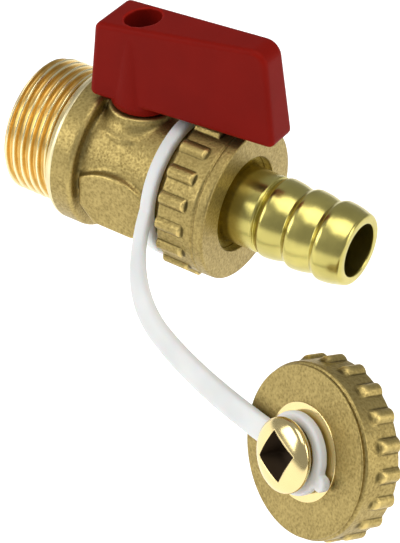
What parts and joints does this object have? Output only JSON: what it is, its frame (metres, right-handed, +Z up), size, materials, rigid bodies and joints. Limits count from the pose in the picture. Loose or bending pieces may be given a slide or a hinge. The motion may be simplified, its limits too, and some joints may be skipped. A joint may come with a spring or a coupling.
{
  "type": "drain cock",
  "caption": "Cast brass ball drain cock with a male pipe thread, red lever, ribbed union nut, barbed hose tail and a ribbed cap held captive on a white plastic strap.",
  "frame": {"origin": "on the flow axis, in the face of the collar that meets the boiler wall", "axes": "+X along the flow from inlet to outlet, +Z up along the stem, +Y away from the strap's side"},
  "size_m": [0.099, 0.0579, 0.0713],
  "materials": {
    "cast_brass": "blasted",
    "turned_brass": "turned",
    "plated_ball": "polished",
    "ptfe": "matt",
    "seal_rubber": "matt",
    "red_plastic": "satin",
    "white_plastic": "satin",
    "zinc_steel": "plated"
  },
  "bodies": {
    "valve": {"valve_body": "cast_brass", "inlet_seat": "ptfe", "outlet_seat": "ptfe", "seat_retainer": "turned_brass"},
    "lever": {"handle": "red_plastic", "handle_screw": "zinc_steel", "screw_washer": "zinc_steel", "stem": "turned_brass", "stem_washer": "ptfe", "stem_o_ring": "seal_rubber", "ball": "plated_ball"},
    "tail": {"hose_tail": "turned_brass", "tail_gasket": "seal_rubber"},
    "nut": {"union_nut": "cast_brass"},
    "strap": {"cap_strap": "white_plastic"},
    "cap": {"cap": "cast_brass", "cap_gasket": "seal_rubber"}
  },
  "joints": [
    {"name": "lever_turn", "type": "hinge", "parent": "valve", "child": "lever", "pos_m": [0.0123, 0, 0], "axis": [0, 0, 1], "range_deg": [-90, 0]},
    {"name": "tail_slide", "type": "slide", "parent": "valve", "child": "tail", "axis": [1, 0, 0], "range_m": [0, 0.00544]},
    {"name": "nut_spin", "type": "hinge", "parent": "tail", "child": "nut", "pos_m": [0.03, 0, 0], "axis": [1, 0, 0], "range_deg": [0, 1080]},
    {"name": "strap_swing", "type": "hinge", "parent": "valve", "child": "strap", "pos_m": [0.0238, 0, 0], "axis": [1, 0, 0], "range_deg": [-60, 150]},
    {"name": "cap_spin", "type": "hinge", "parent": "strap", "child": "cap", "pos_m": [0.06926, -0.03533, -0.01735], "axis": [-0.3589, -0.8849, 0.297], "continuous": true}
  ],
  "couplings": [
    {"joint": "nut_spin", "follows": "tail_slide", "rad_per_m": 3463.7}
  ]
}
